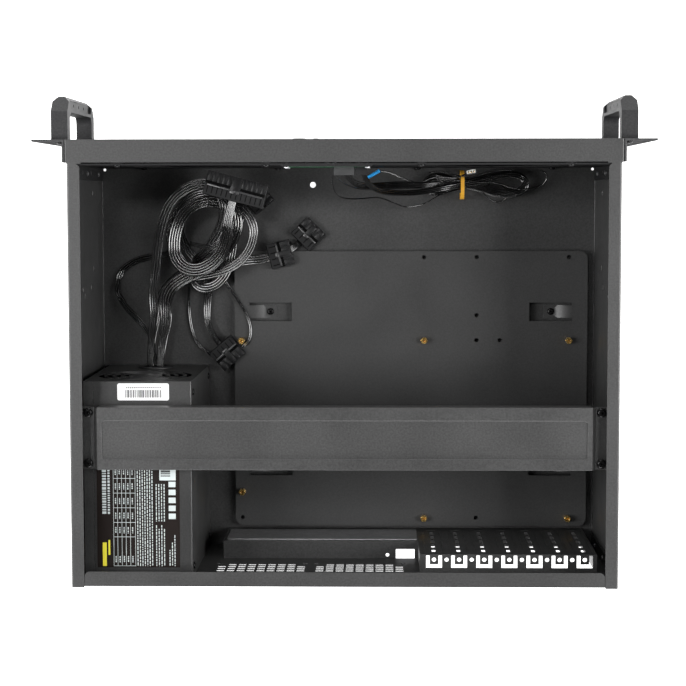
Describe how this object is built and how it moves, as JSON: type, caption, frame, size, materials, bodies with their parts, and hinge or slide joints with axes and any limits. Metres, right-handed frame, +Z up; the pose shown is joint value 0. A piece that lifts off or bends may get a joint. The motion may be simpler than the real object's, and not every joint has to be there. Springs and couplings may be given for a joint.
{
  "type": "rackmount server case",
  "caption": "Open-topped four-unit rack case of black folded steel with a power supply and its cables, handles, a crossbar, a motherboard tray and tear-out slot covers.",
  "frame": {"origin": "under the middle of the case, on the surface it stands on", "axes": "+X along the rack's width towards the power supply, which is on the left seen from the front; +Y from the front panel to the rear; +Z up"},
  "size_m": [0.4826, 0.385, 0.177],
  "materials": {
    "case_steel": "fine-grained black powder coat",
    "front_steel": "fine-grained black powder coat",
    "ear_steel": "fine-grained black powder coat",
    "tray_steel": "satin black powder coat",
    "handle_alloy": "satin black",
    "supply_steel": "satin black powder coat",
    "shield_steel": "plain plated",
    "rivet_steel": "black coated",
    "dark_screw": "black zinc",
    "plain_steel": "bright zinc",
    "plated_steel": "nickel plated",
    "standoff_brass": "turned bright",
    "board_green": "solder-resist green",
    "black_plastic": "fine matt moulding",
    "button_plastic": "smooth moulding",
    "lamp_lens": "clear lens",
    "label_print": "printed film",
    "sticker_paper": "white paper",
    "lead_black": "glossy wire insulation",
    "tie_orange": "soft covering",
    "plug_black": "moulded nylon"
  },
  "bodies": {
    "case": {"bezel_screws": "dark_screw", "chassis_tub": "case_steel", "code_sticker": "sticker_paper", "cpu_lead": "lead_black", "cpu_plug": "plug_black", "crossbar": "case_steel", "crossbar_bracket_left": "case_steel", "crossbar_bracket_right": "case_steel", "crossbar_screws": "dark_screw", "drive_lead": "lead_black", "drive_plugs": "plug_black", "ear_left": "ear_steel", "ear_right": "ear_steel", "ear_screws": "dark_screw", "front_bezel": "front_steel", "front_hank": "lead_black", "front_lead": "lead_black", "front_tie": "tie_orange", "front_wall": "case_steel", "handle_left": "handle_alloy", "handle_right": "handle_alloy", "handle_screws": "dark_screw", "indicator_leds": "lamp_lens", "io_board": "board_green", "io_board_screws": "plain_steel", "io_header": "black_plastic", "io_plugs": "plug_black", "io_shield": "shield_steel", "lead_hank": "lead_black", "loop_lead": "lead_black", "main_lead": "lead_black", "main_plug": "plug_black", "mains_inlet": "black_plastic", "mains_switch": "black_plastic", "motherboard_tray": "tray_steel", "power_switch": "black_plastic", "psu_base": "supply_steel", "psu_board": "board_green", "psu_bushing": "black_plastic", "psu_cover": "supply_steel", "psu_cover_screws": "dark_screw", "psu_fan_frame": "black_plastic", "psu_fan_screws": "dark_screw", "psu_mount_screws": "dark_screw", "rating_label": "label_print", "rear_panel": "case_steel", "reset_switch": "black_plastic", "sata_plug": "plug_black", "side_lead": "lead_black", "spare_lead": "lead_black", "standoffs": "standoff_brass", "tray_screws": "dark_screw", "usb_lead": "lead_black", "usb_sockets": "plated_steel", "wall_rivets": "rivet_steel"},
    "power_button": {"power_button": "button_plastic"},
    "reset_button": {"reset_button": "button_plastic"},
    "supply_fan": {"psu_fan_rotor": "black_plastic"},
    "mains_rocker": {"mains_rocker": "black_plastic"}
  },
  "joints": [
    {"name": "power_press", "type": "slide", "parent": "case", "child": "power_button", "axis": [0, 1, 0], "range_m": [0, 0.0015], "stiffness_N_per_m": 600, "springref_m": -0.001},
    {"name": "reset_press", "type": "slide", "parent": "case", "child": "reset_button", "axis": [0, 1, 0], "range_m": [0, 0.0015], "stiffness_N_per_m": 600, "springref_m": -0.001},
    {"name": "fan_spin", "type": "hinge", "parent": "case", "child": "supply_fan", "pos_m": [0.1643, 0.1775, 0.0993], "axis": [0, 1, 0], "continuous": true},
    {"name": "rocker_tilt", "type": "hinge", "parent": "case", "child": "mains_rocker", "pos_m": [0.1453, 0.187, 0.0333], "axis": [1, 0, 0], "range_deg": [0, 16]}
  ]
}
